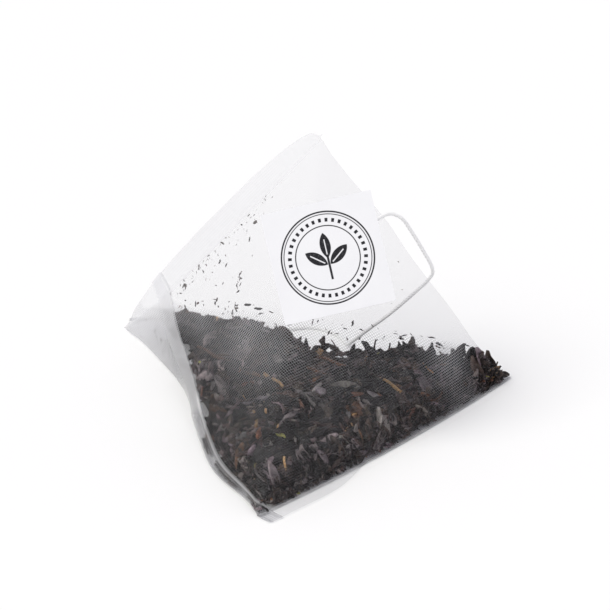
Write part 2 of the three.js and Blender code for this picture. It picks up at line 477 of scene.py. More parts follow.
THREAD_DIAMETER = 0.7 * MM
THREAD_SIDES = 15
THREAD_PLIES = 3
THREAD_TWIST = 2.4 * MM
THREAD_STEP = 0.3 * MM
THREAD_LOWEST = 0.52 * THREAD_DIAMETER  # of its middle, where it lies on the floor
PLY_GIRTH, PLY_BULGE = 0.88, 0.13  # shares of the thread's own
THREAD_ROUTE = [
    mm(-34.9, 34.3, 1.4), mm(-33.8, 35.6, 0.6), mm(-30.4, 36.8, 0.42), mm(-25.4, 36.6, 0.42),
    mm(-20.4, 34.2, 0.42), mm(-15.6, 31.0, 0.42), mm(-10.6, 30.2, 0.42), mm(-5.6, 32.2, 0.42),
    mm(-0.6, 33.0, 0.42), mm(3.6, 30.4, 0.42), mm(5.6, 26.4, 0.7), mm(6.6, 23.4, 3.0),
    mm(9.4, 20.8, 7.0), mm(13.2, 18.1, 11.8), mm(17.0, 15.6, 17.0), mm(20.2, 13.7, 21.6),
    mm(20.8, 12.6, 24.4), mm(18.9, 12.0, 28.8), mm(16.9, 11.3, 32.8), mm(15.2, 10.6, 35.8),
    mm(13.0, 9.4, 37.4), mm(10.6, 5.8, 38.2), mm(8.2, 1.4, 38.6), mm(6.4, -1.8, 38.3),
    mm(4.4, -3.45, 38.0),
]


def make_thread():
    line = smooth_line(THREAD_ROUTE, THREAD_STEP, THREAD_LOWEST)
    sides = frames_along(line)

    def place(i, k):
        angle = 2 * math.pi * k / THREAD_SIDES
        radius = THREAD_DIAMETER / 2 * (PLY_GIRTH + PLY_BULGE * math.cos(THREAD_PLIES * angle))
        side, across = sides[i]
        angle += 2 * math.pi * i * THREAD_STEP / THREAD_TWIST
        return line[i] + (side * math.cos(angle) + across * math.sin(angle)) * radius

    piece = finished("cotton_thread", sweep(len(line), THREAD_SIDES, place), twisted_cotton())
    return piece, line


thread, thread_line = make_thread()


# ---------------- the bag's shape

APEX = mm(0.6, 6.8, 54.4)
REAR = mm(-34.4, 32.5, 0)
FRONT = mm(-10.3, -32.8, 0)
RIGHT = mm(34.6, 15.6, 0)

upper_seal = APEX - REAR
lower_seal = RIGHT - FRONT
upper_middle = (APEX + REAR) / 2
lower_middle = (FRONT + RIGHT) / 2
across_upper = upper_seal.normalized()
across_lower = lower_seal.normalized()
out_of_upper = (upper_middle - lower_middle).normalized()
out_of_lower = Vector((across_lower.y, -across_lower.x, 0)).normalized()
behind_upper = out_of_upper.cross(across_upper).normalized()


def level_part(vector):
    return Vector((vector.x, vector.y, 0))


def outward_normal(a, b, c, opposite):
    normal = (b - a).cross(c - a).normalized()
    return -normal if normal.dot(opposite - a) > 0 else normal


LEFT_FACE = outward_normal(APEX, REAR, FRONT, RIGHT)
FRONT_FACE = outward_normal(APEX, FRONT, RIGHT, REAR)
BACK_FACE = outward_normal(APEX, RIGHT, REAR, FRONT)
DOWN = Vector((0, 0, -1))

TAG_SIDE = 20 * MM
TAG_THICKNESS = 0.28 * MM
TAG_CENTRE = mm(1.9, -5.3, 36.7)
TAG_LEAN = math.radians(34)
TAG_TURN = math.radians(13)
TAG_CURL = 0.35 * MM
TAG_PLACE = (
    Matrix.Translation(TAG_CENTRE)
    @ Matrix.Rotation(math.pi / 2 - TAG_LEAN, 4, "X")
    @ Matrix.Rotation(TAG_TURN, 4, "Z")
)
TAG_INVERSE = TAG_PLACE.inverted()

# The strip that the bag is made from, before it is rolled into a tube.
TUBE_WIDTH = 68 * MM
SEAM_WIDTH = 4 * MM
SEAM_PLACE = 0.78 * TUBE_WIDTH
SEAM_DRIFT = 22 * MM
UPPER_FIN = 4 * MM
LOWER_FIN = 3 * MM
STRIP_HEIGHT = 59 * MM  # from seal to seal
STRIP_LENGTH = STRIP_HEIGHT + UPPER_FIN + LOWER_FIN
STRIP_WIDTH = 2 * TUBE_WIDTH + 2 * SEAM_WIDTH
STRIP_CELL = 0.5 * MM
FOLD_RADIUS = 1.3 * MM
FILM_GAP = 0.07 * MM
BASE_LIFT = 0.4 * MM
PUFF = 0.9 * MM
LOWER_BOW = 2.1 * MM  # how far the tea pushes the lower seal out
LOWEST_FILM = 0.06 * MM
TAG_BEHIND, TAG_NEAR = -0.3 * MM, 4 * MM  # where the film lies behind the tag
TAG_HALF, TAG_REACH = 10 * MM, 13 * MM  # the tag presses on the film out to here
SEAM_INNER, SEAM_OUTER = 0.14 * MM, 0.26 * MM  # how far the seam's layers stand off
# Depth, width, length and seed of each size of wrinkle.
WRINKLES = [(0.30 * MM, 11 * MM, 26 * MM, 3.1), (0.12 * MM, 3.6 * MM, 17 * MM, 7.7)]
# Millimetres out, the middle and the width, as shares of the way from seal to seal.
FOOT_SWELLS = [(-1.5, 0.32, 0.17), (1.0, 0.57, 0.12), (3.1, 0.76, 0.14)]
RIM_SWELLS = [(0.7, 0.33, 0.2), (-0.9, 0.84, 0.1)]

SHADE_LINE_FOOT = 5 * MM  # how high the strands are painted in shade at the back wall
SHADE_LINE_CLIMB = 0.57  # and how much higher for each length in front of it
CATCH_PATCHES = 0.45  # how uneven the painted light on the strands is
# Painted light: how much the strands are given below the slope, and how much more near its top.
CATCH_SHADED, CATCH_SHADED_TOP = 0.26, 0.08
CATCH_LEFT, CATCH_LEFT_TOP = 0.10, 0.46  # painted light added on the left face, which the key lights
CATCH_RIGHT_FOLD, CATCH_PAST_FOLD = 0.7, 0.9  # painted highlight added on the fold, and painted shade past it
CATCH_LIT, CATCH_LIT_LEFT = 0.75, 0.25  # painted light above the slope, where the strands are painted lit
FUSED_CORNER, FUSED_FIN, FUSED_SEAM, FUSED_SEAM_EDGE = 0.55, 0.3, 0.55, 0.85
SEAM_EDGE = 0.8 * MM


def smooth_step(x, low, high):
    t = min(max((x - low) / (high - low), 0), 1)
    return t * t * (3 - 2 * t)


def bell(x, centre, width):
    return math.exp(-(((x - centre) / width) ** 2))


def swell(x, bells):
    return sum(height * bell(x, centre, width) for height, centre, width in bells)


def round_section(share, wide, tall, radius):
    """A point and an outward direction on a rounded rectangle, by share of its girth.

    It starts in the middle of the top side and goes round by the left side."""
    mirrored = share > 0.5
    half_top, arc, side = wide - radius, math.pi / 2 * radius, 2 * (tall - radius)
    travel = (1 - share if mirrored else share) * (4 * half_top + 4 * arc + 2 * side)
    if travel < half_top:
        x, y, nx, ny = -travel, tall, 0, 1
    elif travel < half_top + arc:
        a = (travel - half_top) / radius
        nx, ny = -math.sin(a), math.cos(a)
        x, y = -half_top + radius * nx, tall - radius + radius * ny
    elif travel < half_top + arc + side:
        x, y, nx, ny = -wide, tall - radius - (travel - half_top - arc), -1, 0
    elif travel < half_top + 2 * arc + side:
        a = (travel - half_top - arc - side) / radius
        nx, ny = -math.cos(a), -math.sin(a)
        x, y = -half_top + radius * nx, -(tall - radius) + radius * ny
    else:
        x, y, nx, ny = -half_top + travel - (half_top + 2 * arc + side), -tall, 0, -1
    return (-x, y, -nx, ny) if mirrored else (x, y, nx, ny)


def film_point(around, along, layer=0.0):
    """Where a point of the strip lies in the finished bag.

    around is the distance round the tube from the middle of the front face, along is the
    distance below the upper seal, and layer is how far the film stands off the wall."""
    v = min(max(along / STRIP_HEIGHT, 0), 1)
    wide = max(v * lower_seal.length / 2, FILM_GAP)
    tall = max((1 - v) * upper_seal.length / 2, FILM_GAP)
    radius = min(FOLD_RADIUS, 0.6 * wide, 0.6 * tall)
    x, y, nx, ny = round_section(around / (2 * TUBE_WIDTH) % 1, wide, tall, radius)
    centre = REAR.lerp(lower_middle, v) + across_upper * (1 - v) * upper_seal.length / 2
    point = centre + across_lower * x + across_upper * y
    normal = LEFT_FACE * max(-nx, 0) + BACK_FACE * max(nx, 0)
    normal += FRONT_FACE * max(ny, 0) + DOWN * max(-ny, 0)
    normal.normalize()
    qx, qy = x / wide, y / tall
    body = math.sin(math.pi * v) ** 0.6 if 0 < v < 1 else 0.0

    # The faces are a little puffed, most of all where the tea leans on them.
    low = math.exp(-point.z / (9 * MM))
    side = (1 - qy * qy) * abs(nx) + (1 - qx * qx) * max(ny, 0)
    puff = PUFF * side * body * (0.75 + 0.8 * low)
    wrinkle = sum(
        depth * noise.noise(Vector((around / width, along / length, seed)))
        for depth, width, length, seed in WRINKLES
    )
    on_base = max(-ny, 0)
    point += normal * (puff + wrinkle * body * (1 - on_base) + layer)

    # The bottom edge from the rear to the front corner pulls in, then bellies out.
    foot = max(-qx, 0) ** 2 * max(-qy, 0) ** 2
    point += level_part(LEFT_FACE).normalized() * foot * swell(v, FOOT_SWELLS) * MM
    rim = max(qx, 0) ** 2 * max(qy, 0) ** 2
    point += level_part(BACK_FACE + FRONT_FACE) * rim * swell(v, RIM_SWELLS) * MM

    bow = max(0.0, 1 - ((qx - 0.2) / 1.2) ** 2) * smooth_step(v, 0.45, 1.0)
    point += out_of_lower * LOWER_BOW * bow

    point += mm(-1.3, 0.1, 0.15) * math.exp(-(((point - REAR).length / (6 * MM)) ** 2))
    point.z += BASE_LIFT * max(0.0, 1 - point.z / (3 * MM))
    if along < 0:
        q = qy
        turn = math.radians(70) * abs(q) ** 3
        turn += 0.12 * noise.noise(Vector((q * 5, 1.3, along / (3 * MM))))
        reach = -along * (1 - 0.75 * smooth_step(q, 0.86, 1.0))
        point += (out_of_upper * math.cos(turn) + behind_upper * math.sin(turn)) * reach
    elif along > STRIP_HEIGHT:
        past = along - STRIP_HEIGHT
        ripple = 0.5 + 0.5 * noise.noise(Vector((qx * 6, 4.2, 0.5)))
        drop = min(past / (1.2 * MM), 1)
        tuck = math.pi * smooth_step(qx, -0.8, 0.35)
        point += out_of_lower * past * math.cos(tuck)
        point.z += -drop * 0.28 * MM + ripple * 0.35 * MM * past / LOWER_FIN * math.cos(tuck / 2)
    point.z = max(point.z, LOWEST_FILM)

    # The tag presses the film back.
    place = TAG_INVERSE @ point
    reach = max(abs(place.x), abs(place.y))
    limit = TAG_BEHIND + 3 * MM * smooth_step(reach, TAG_HALF, TAG_REACH)
    if reach < TAG_REACH and limit < place.z < TAG_NEAR:
        place.z = limit
        point = TAG_PLACE @ place
    return point


def seam_place(along):
    """The long seam drifts towards the front as it comes down the left face."""
    v = min(max(along / STRIP_HEIGHT, 0), 1)
    return SEAM_PLACE - SEAM_DRIFT * v ** 1.8


def strip_to_bag(s, along):
    """s runs across the flat strip, from one free edge to the other."""
    seam = seam_place(along)
    if s < SEAM_WIDTH:
        return film_point(seam + (SEAM_WIDTH - s), along, SEAM_INNER)
    if s > STRIP_WIDTH - SEAM_WIDTH:
        return film_point(seam + s - (STRIP_WIDTH - SEAM_WIDTH), along, SEAM_OUTER)
    return film_point(seam + s - SEAM_WIDTH, along)


def film_look(s, along, point):
    """How much light is painted on the strands here (painted light and shade), how far layers of
    film are fused, and how far the weave is lost against the white behind it."""
    v = min(max(along / STRIP_HEIGHT, 0), 1)
    in_seam = s < SEAM_WIDTH or s > STRIP_WIDTH - SEAM_WIDTH
    from_fold = abs(SEAM_WIDTH - s) if s < SEAM_WIDTH else abs(s - STRIP_WIDTH + SEAM_WIDTH)
    around = (seam_place(along) + s - SEAM_WIDTH) % (2 * TUBE_WIDTH) / TUBE_WIDTH
    # Shares of the tube's width: the left face lies from v / 2 to 1 - v / 2.
    on_left = smooth_step(around, v / 2 - 0.16, v / 2 + 0.22) * (
        1 - smooth_step(around, 1 - v / 2 - 0.03, 1 - v / 2 + 0.03)
    )
    on_back = smooth_step(around, 1 + v / 2 - 0.04, 1 + v / 2 + 0.04) * (
        1 - smooth_step(around, 2 - v / 2 - 0.04, 2 - v / 2 + 0.04)
    )
    # The strands are painted in shade up to a slope that climbs from the back wall towards the
    # front corner.
    from_back = BACK_FACE.dot(REAR - level_part(point)) / BACK_FACE.y
    level = point.z / (SHADE_LINE_FOOT + SHADE_LINE_CLIMB * max(from_back, 0))
    painted_catch = CATCH_SHADED + CATCH_SHADED_TOP * smooth_step(level, 0.3, 0.8)
    # Painted light: the strands on the left face are made brighter.
    painted_catch += on_left * (CATCH_LEFT + CATCH_LEFT_TOP * smooth_step(level, 0.45, 0.9))
    painted_catch *= 1 + CATCH_PATCHES * noise.noise(Vector((around * 7, v * 6, 2.2)))
    # A painted highlight on a soft fold near the right corner, and painted shade on the film past
    # it.
    to_right = 2 - around if around > 1 else 0.0
    right_end = smooth_step(v, 0.62, 0.8)
    painted_catch += CATCH_RIGHT_FOLD * right_end * bell(to_right, 0.29, 0.07)
    painted_catch *= 1 - CATCH_PAST_FOLD * right_end * smooth_step(to_right, 0.34, 0.40)
    plain = max(on_back, smooth_step(level, 0.95, 1.15))
    # Above the slope the strands are painted lit.
    painted_catch += (CATCH_LIT + CATCH_LIT_LEFT * on_left - painted_catch) * plain
    corner = smooth_step(around, 0.80, 0.86) * (1 - smooth_step(around, 1.14, 1.2))
    fused = FUSED_CORNER * corner * (1 - smooth_step(v, 0.2, 0.45))
    if along < 0:
        fused = FUSED_FIN
    if in_seam:
        fused = FUSED_SEAM * (1 - smooth_step(v, 0.46, 0.56))
        fused += FUSED_SEAM_EDGE * smooth_step(v, 0.4, 0.5) * bell(from_fold, 0, SEAM_EDGE)
    return painted_catch, fused, plain


def make_film():
    shape = bmesh.new()
    uv = shape.loops.layers.uv.new("weave")
    # Painted light and shade on the strands.
    painted_catch = shape.verts.layers.float.new("painted_catch")
    fused = shape.verts.layers.float.new("fused")
    plain = shape.verts.layers.float.new("plain")
    bmesh.ops.create_grid(
        shape,
        x_segments=round(STRIP_WIDTH / STRIP_CELL),
        y_segments=round(STRIP_LENGTH / STRIP_CELL),
        size=0.5,
    )
    flat = {
        vert: ((vert.co.x + 0.5) * STRIP_WIDTH, (vert.co.y + 0.5) * STRIP_LENGTH - UPPER_FIN)
        for vert in shape.verts
    }
    for face in shape.faces:
        for loop in face.loops:
            loop[uv].uv = flat[loop.vert]
    for vert, (s, along) in flat.items():
        vert.co = strip_to_bag(s, along)
        vert[painted_catch], vert[fused], vert[plain] = film_look(s, along, vert.co)
    return finished("mesh_film", shape, nylon_mesh())


film = make_film()


def wall_tree():
    """The film's wall alone, without its seam and fins, to keep the tea inside it."""
    mesh = film.data
    uv = mesh.uv_layers["weave"].data
    points = [v.co.copy() for v in mesh.vertices]
    faces = []
    for face in mesh.polygons:
        s, along = uv[face.loop_start].uv
        if SEAM_WIDTH < s < STRIP_WIDTH - SEAM_WIDTH and 0 < along < STRIP_HEIGHT:
            faces.append(tuple(face.vertices))
    return BVHTree.FromPolygons(points, faces)


FILM_WALL = wall_tree()
BAG_MIDDLE = (APEX + REAR + FRONT + RIGHT) / 4


# ---------------- tea

WALLS = [(LEFT_FACE, APEX), (FRONT_FACE, APEX), (BACK_FACE, APEX), (DOWN, REAR)]
WALL_NORMALS = np.array([list(n) for n, _ in WALLS])
WALL_REACH = np.array([n.dot(p) for n, p in WALLS])
WALL_CLEAR = np.array([-2.0, -2.6, 0.35, 0.35]) * MM
FILM_CLEARANCE, FILM_PUSH = 0.12 * MM, 0.2 * MM  # between a bit and the film
# Behind this line the film is pressed together, and no tea lies there.
SEAM_LINE = (REAR.lerp(RIGHT, 0.12), REAR.lerp(FRONT, 0.47))
SEAM_CLEAR = 1.5 * MM
SEAM_AHEAD = Vector((0, 0, 1)).cross(SEAM_LINE[1] - SEAM_LINE[0]).normalized()


HEAP_DEPTH, HEAP_BANK = 5.0, 3.0  # millimetres
# The tea's border on the back wall: millimetres up, the middle and the width, as shares.
BORDER_SWELLS = [(1.4, 0.33, 0.08), (-3.6, 0.53, 0.14), (1.0, 0.77, 0.06), (-3.0, 0.92, 0.08)]
BORDER_REACH = 8 * MM
BORDER_GAP = (0.54, 0.12)
GAP_SHARE = 0.9  # of the bits, left out in the middle of the gap


def heap_height(x, y):
    """How high the loose tea stands: a bank that falls away from the rear corner."""
    toward_rear = min(max((RIGHT.x - x) / (RIGHT.x - REAR.x), 0), 1)
    from_back = (BACK_FACE.dot(REAR) - BACK_FACE.dot(Vector((x, y, 0)))) / BORDER_REACH
    x, y = x / MM, y / MM
    humps = 0.55 * math.sin(x * 0.31 + 0.8) * math.cos(y * 0.27)
    humps += 0.35 * math.sin(y * 0.52 - x * 0.2)
    humps += swell(1 - toward_rear, BORDER_SWELLS) * math.exp(-(from_back ** 2))
    return (HEAP_DEPTH + HEAP_BANK * (toward_rear - 0.5) + humps) * MM


def inside_base(x, y, margin):
    point = Vector((x, y, 0))
    return all(n.dot(point) < n.dot(p) - margin for n, p in WALLS[:3])


def rolled_leaf(rng):
    """A leaf rolled along its length, bent and twisted. One unit long."""
    shape = bmesh.new()
    bmesh.ops.create_grid(shape, x_segments=6, y_segments=2, size=0.5)
    curl, bend, twist = rng.uniform(1.2, 2.6), rng.uniform(-0.9, 0.9), rng.uniform(-2.0, 2.0)
    lift, slim = rng.uniform(-0.5, 0.5), rng.uniform(0.30, 0.46)
    for vert in shape.verts:
        t, w = vert.co.x * 2, vert.co.y * 2
        girth = slim * (1 - 0.85 * abs(t) ** rng.uniform(1.6, 2.6)) + 0.03
        a = w * curl
        y, z = girth * 0.5 * math.sin(a), girth * 0.5 * (1 - math.cos(a)) - girth * 0.3
        c, s = math.cos(twist * t), math.sin(twist * t)
        y, z = y * c - z * s, y * s + z * c
        vert.co = Vector((t / 2, y + 0.16 * bend * (1 - t * t), z + 0.12 * lift * (1 - t * t)))
    bmesh.ops.solidify(shape, geom=shape.faces[:], thickness=0.06)
    return shape


def flake(rng):
    """A flat, slightly cupped scrap of leaf."""
    shape = bmesh.new()
    bmesh.ops.create_grid(shape, x_segments=3, y_segments=3, size=0.5)
    wide = rng.uniform(0.45, 0.8)
    for vert in shape.verts:
        x, y = vert.co.x * 2, vert.co.y * 2
        edge = max(abs(x), abs(y)) > 0.9
        pull = rng.uniform(0.6, 1.05) if edge else 1
        r = math.hypot(x, y) or 1
        square = max(abs(x), abs(y)) / r
        cup = 0.16 * (x * x + y * y) * rng.uniform(0.7, 1.3)
        vert.co = Vector((x * pull * square / 2, y * pull * square * wide / 2, cup + 0.1 * x * y))
    bmesh.ops.solidify(shape, geom=shape.faces[:], thickness=0.05)
    return shape


def stalk(rng, thick=0.1):
    """A thin stalk with a cut end and a slight bend."""
    shape = bmesh.new()
    bmesh.ops.create_cone(
        shape, segments=6, radius1=thick / 2, radius2=thick / 2.8, depth=1, cap_ends=True
    )
    lengths = [e for e in shape.edges if abs(e.verts[0].co.z - e.verts[1].co.z) > 0.5]
    bmesh.ops.subdivide_edges(shape, edges=lengths, cuts=4)
    bend, kink = rng.uniform(-0.25, 0.25), rng.uniform(-0.1, 0.1)
    for vert in shape.verts:
        x, y, z = vert.co
        knob = 1 + 0.35 * bell(z, kink, 0.06)
        vert.co = Vector((z, x * knob + bend * (0.25 - z * z), y * knob + 0.05 * math.sin(5 * z)))
    return shape


def chip(rng):
    """A broken crumb."""
    shape = bmesh.new()
    bmesh.ops.create_icosphere(shape, subdivisions=1, radius=0.5)
    flat = rng.uniform(0.35, 0.8)
    for vert in shape.verts:
        vert.co *= rng.uniform(0.65, 1.1)
        vert.co.y *= rng.uniform(0.5, 0.8)
        vert.co.z *= flat
    return shape


def patterns(maker, count, seed):
    """A few shapes of one kind, kept as points and faces to be copied."""
    rng = random.Random(seed)
    kept = []
    for _ in range(count):
        shape = maker(rng)
        bmesh.ops.recalc_face_normals(shape, faces=shape.faces)
        mesh = bpy.data.meshes.new("pattern")
        shape.to_mesh(mesh)
        shape.free()
        kept.append(mesh)
    return kept


LEAVES = patterns(rolled_leaf, 10, 11)
FLAKES = patterns(flake, 6, 12)
STALKS = patterns(stalk, 5, 13)
CHIPS = patterns(chip, 6, 14)


def points_of(mesh):
    points = np.empty(len(mesh.vertices) * 3, np.float32)
    mesh.vertices.foreach_get("co", points)
    return points.reshape(-1, 3)


def kept_in(points):
    """How far a piece has to move so that it lies inside the bag."""
    shift = np.zeros(3)
    for _ in range(4):
        over = ((points + shift) @ WALL_NORMALS.T).max(axis=0) - WALL_REACH + WALL_CLEAR
        k = int(over.argmax())
        if over[k] <= 0:
            break
        shift -= WALL_NORMALS[k] * over[k]
    for _ in range(2):
        worst, push = FILM_CLEARANCE, None
        for point in points[::2] + shift:
            near, normal, _, _ = FILM_WALL.find_nearest(Vector(point))
            if normal.dot(near - BAG_MIDDLE) < 0:
                normal = -normal
            inside = (near - Vector(point)).dot(normal)
            if inside < worst:
                worst, push = inside, normal
        if push is None:
            break
        shift -= np.array(push) * (FILM_PUSH - worst)
    return shift


class Scatter:
    """Copies of small shapes, gathered into one piece."""

    def __init__(self):
        self.shape = bmesh.new()
        self.counts, self.colours = [], []

    def add(self, pattern, size, turn, where, colour, keep=True):
        """size is a scale for each axis, turn a rotation matrix, where the middle."""
        place = turn @ Matrix.Diagonal(size)
        points = points_of(pattern) @ np.array(place).T + np.array(where)
        shift = kept_in(points) if keep else np.zeros(3)
        shift[2] += max(0.0, BASE_LIFT - (points[:, 2].min() + shift[2]))
        whole = Matrix.Translation(Vector(where) + Vector(shift)) @ place.to_4x4()
        copy = pattern.copy()
        copy.transform(whole)
        self.shape.from_mesh(copy)
        bpy.data.meshes.remove(copy)
        self.counts.append(len(pattern.vertices))
        self.colours.append(colour)

    def finish(self, name, material):
        mesh = bpy.data.meshes.new(name)
        self.shape.to_mesh(mesh)
        self.shape.free()
        colour = mesh.attributes.new("leaf_colour", "FLOAT_COLOR", "POINT")
        values = np.repeat(np.array(self.colours, np.float32), self.counts, axis=0)
        colour.data.foreach_set("color", values.ravel())
        return placed(name, mesh, material)


DARK = (0.012, 0.009, 0.009)
BROWN = (0.052, 0.036, 0.031)
MAUVE = (0.165, 0.136, 0.138)
RUST = (0.13, 0.062, 0.038)
TAN = (0.36, 0.22, 0.10)
GREEN = (0.20, 0.19, 0.055)
# Each colour with the share of the bits that it and those before it make up.
LEAF_MIX = [(0.50, DARK), (0.78, BROWN), (0.80, RUST), (0.803, GREEN), (0.808, TAN), (1, MAUVE)]
STALK_MIX = [(0.05, TAN), (0.10, RUST), (0.6, BROWN), (1, DARK)]


def tea_colour(rng, mix):
    pick = rng.random()
    base = next(colour for share, colour in mix if pick < share)
    level = rng.uniform(0.6, 1.6)
    return tuple(c * level * rng.uniform(0.92, 1.08) for c in base) + (1.0,)


def facing(normal, spin):
    """Turns a flat piece so that its thin way is along the normal."""
    return normal.to_track_quat("Z", "Y").to_matrix() @ Matrix.Rotation(spin, 3, "Z")


def tumble(rng, most):
    tilt = Matrix.Rotation(rng.gauss(0, most), 3, "X") @ Matrix.Rotation(rng.gauss(0, most), 3, "Y")
    return Matrix.Rotation(rng.uniform(0, 2 * math.pi), 3, "Z") @ tilt


LEAF_SHARE, FLAKE_SHARE, STALK_SHARE = 0.60, 0.20, 0.09  # and the rest are crumbs


def one_bit(rng, scatter, where, turn, scale=1.0):
    """Adds a rolled leaf, a flake, a stalk or a crumb. Lengths are in millimetres."""
    kind, mix = rng.random(), LEAF_MIX
    if kind < LEAF_SHARE:
        shapes, length = LEAVES, min(rng.lognormvariate(math.log(3.9), 0.42), 7.5)
        size = (length, length * rng.uniform(0.55, 1.0), length * rng.uniform(0.55, 0.9))
    elif kind < LEAF_SHARE + FLAKE_SHARE:
        shapes, size = FLAKES, (rng.uniform(1.3, 3.2),) * 3
    elif kind < LEAF_SHARE + FLAKE_SHARE + STALK_SHARE:
        shapes, mix = STALKS, STALK_MIX
        length, girth = rng.uniform(2.2, 6.0), rng.uniform(2.2, 5.5)
        size = (length, girth, girth)
    else:
        shapes, size = CHIPS, (rng.uniform(0.6, 1.4),) * 3
    size = [side * scale * MM for side in size]
    scatter.add(rng.choice(shapes), size, turn, where, tea_colour(rng, mix))


TOP_BITS = 1500
SIDE_BITS = 1900
CORNER_BITS = 420
EDGE_BITS = 520
STRAY_BITS = 170
STRAY_CLUMPS = [0.66, 0.76, 0.80, 0.84, 0.97]  # along the foot, from the rear to the front
FRONT_FREE = 5.0 * MM

black_tea = dry_leaf("black_tea")


def in_clear_corner(point):
    """The film's rounded front corner, which hardly any tea reaches."""
    return (point - FRONT).length < FRONT_FREE


def in_gap(rng, foot):
    """The tea is thin along the middle of the back wall, so the white shows through it."""
    from_back = BACK_FACE.dot(REAR - foot)
    share = (foot.x - REAR.x) / (RIGHT.x - REAR.x)
    return from_back < BORDER_REACH and rng.random() < GAP_SHARE * bell(share, *BORDER_GAP)


def random_base_point(rng, margin):
    while True:
        x = rng.uniform(REAR.x, RIGHT.x)
        y = rng.uniform(FRONT.y, REAR.y)
        if inside_base(x, y, margin):
            return x, y


def ahead_of_seam(point):
    """How far a place is ahead of the line behind which the film is pressed together."""
    return SEAM_AHEAD.dot(point - SEAM_LINE[0])


def left_bare(rng, foot):
    """Whether no bit goes on this place of the floor."""
    if ahead_of_seam(foot) < SEAM_CLEAR or in_clear_corner(foot):
        return True
    return in_gap(rng, foot)


def make_top_bits():
    rng = random.Random(21)
    scatter = Scatter()
    for _ in range(TOP_BITS):
        x, y = random_base_point(rng, 0.6 * MM)
        if left_bare(rng, Vector((x, y, 0))):
            continue
        depth = rng.uniform(-0.6, 1.7) * MM
        where = Vector((x, y, heap_height(x, y) - depth))
        one_bit(rng, scatter, where, tumble(rng, 0.42))
    return scatter.finish("tea_top", black_tea)


def make_side_bits():
    """Bits that lie against the film, all the way round the foot of the bag."""
    rng = random.Random(22)
    scatter = Scatter()
    edges = [(REAR, FRONT, LEFT_FACE), (FRONT, RIGHT, FRONT_FACE), (RIGHT, REAR, BACK_FACE)]
    lengths = [(b - a).length for a, b, _ in edges]
    for _ in range(SIDE_BITS):
        a, b, normal = rng.choices(edges, weights=lengths)[0]
        foot = a.lerp(b, rng.uniform(0.02, 0.98))
        if left_bare(rng, foot):
            continue
        z = rng.uniform(0.2, 1.0) * heap_height(foot.x, foot.y)
        sunk = rng.uniform(-1.4, 1.0) if normal == FRONT_FACE else rng.uniform(0.3, 1.5)
        where = foot + Vector((0, 0, z)) - normal * sunk * MM
        where -= level_part(normal) * (z * normal.z)
        spin = rng.uniform(0, 2 * math.pi)
        turn = facing(normal, spin) @ tumble(rng, 0.16)
        one_bit(rng, scatter, where, turn)
    for _ in range(STRAY_BITS):
        clump = rng.choice(STRAY_CLUMPS)
        where = REAR.lerp(FRONT, clump + rng.gauss(0, 0.018))
        where += level_part(LEFT_FACE) * rng.uniform(0.2, 2.4) * MM
        where.z = rng.uniform(0.4, 1.6) * MM
        one_bit(rng, scatter, where, tumble(rng, 0.5), 0.45)
    for _ in range(EDGE_BITS):
        where = FRONT.lerp(RIGHT, rng.uniform(0.06, 0.99))
        where += out_of_lower * rng.uniform(-1.5, 1.9) * MM
        where.z = rng.uniform(0.4, 1.6) * MM
        one_bit(rng, scatter, where, tumble(rng, 0.4), 0.55)
    for _ in range(CORNER_BITS):
        corner, other = rng.choice([(RIGHT, FRONT), (RIGHT, REAR), (RIGHT, REAR)])
        where = corner.lerp(other, rng.uniform(-0.01, 0.13)).lerp(lower_middle, 0.02)
        where.z = rng.uniform(0.3, 3.4) * MM
        one_bit(rng, scatter, where, tumble(rng, 0.6), 0.42)
    return scatter.finish("tea_sides", black_tea)


CORE_CLEAR, CORE_LOWEST = 0.5 * MM, 0.75 * MM


def make_core():
    """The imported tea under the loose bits: the bag's own tea solid, drawn in and made lumpy."""
    shape = bmesh.new()
    shape.from_mesh(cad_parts["tea_heap"].data)
    bmesh.ops.remove_doubles(shape, verts=shape.verts, dist=0.01 * MM)
    bmesh.ops.triangulate(shape, faces=shape.faces)
    long_edges = [e for e in shape.edges if e.calc_length() > 1.5 * MM]
    bmesh.ops.subdivide_edges(shape, edges=long_edges, cuts=1)
    bmesh.ops.triangulate(shape, faces=shape.faces)
    bmesh.ops.recalc_face_normals(shape, faces=shape.faces)
    shape.normal_update()
    for vert in shape.verts:
        lump = noise.noise(vert.co / (1.3 * MM))
        vert.co -= vert.normal * (0.75 + 0.45 * lump) * MM
        short = (2.2 + 0.4 * lump) * MM - ahead_of_seam(vert.co)
        if short > 0:
            vert.co += SEAM_AHEAD * short
        from_front = vert.co - FRONT
        if from_front.length < FRONT_FREE + 1 * MM:
            vert.co = FRONT + from_front.normalized() * (FRONT_FREE + (1 + 0.4 * lump) * MM)
        dip = heap_height(vert.co.x, vert.co.y) - (0.95 + 0.45 * lump) * MM
        vert.co.z = min(vert.co.z, dip)
        near, normal, _, away = FILM_WALL.find_nearest(vert.co)
        outward = normal if normal.dot(near - BAG_MIDDLE) > 0 else -normal
        if (near - vert.co).dot(outward) < CORE_CLEAR:
            vert.co = near - outward * CORE_CLEAR
        vert.co.z = max(vert.co.z, CORE_LOWEST)
    piece = finished("tea_core", shape, black_tea)
    colour = piece.data.attributes.new("leaf_colour", "FLOAT_COLOR", "POINT")
    values = np.tile(np.array((*DARK, 1.0), np.float32), (len(piece.data.vertices), 1))
    colour.data.foreach_set("color", values.ravel())
    return piece


def node_line(name):
    """The middle and the long direction of a CAD piece."""
    points = points_of(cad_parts[name].data)
    middle = points.mean(axis=0)
    axis = np.linalg.svd(points - middle, full_matrices=False)[2][0]
    return Vector(middle), Vector(axis)


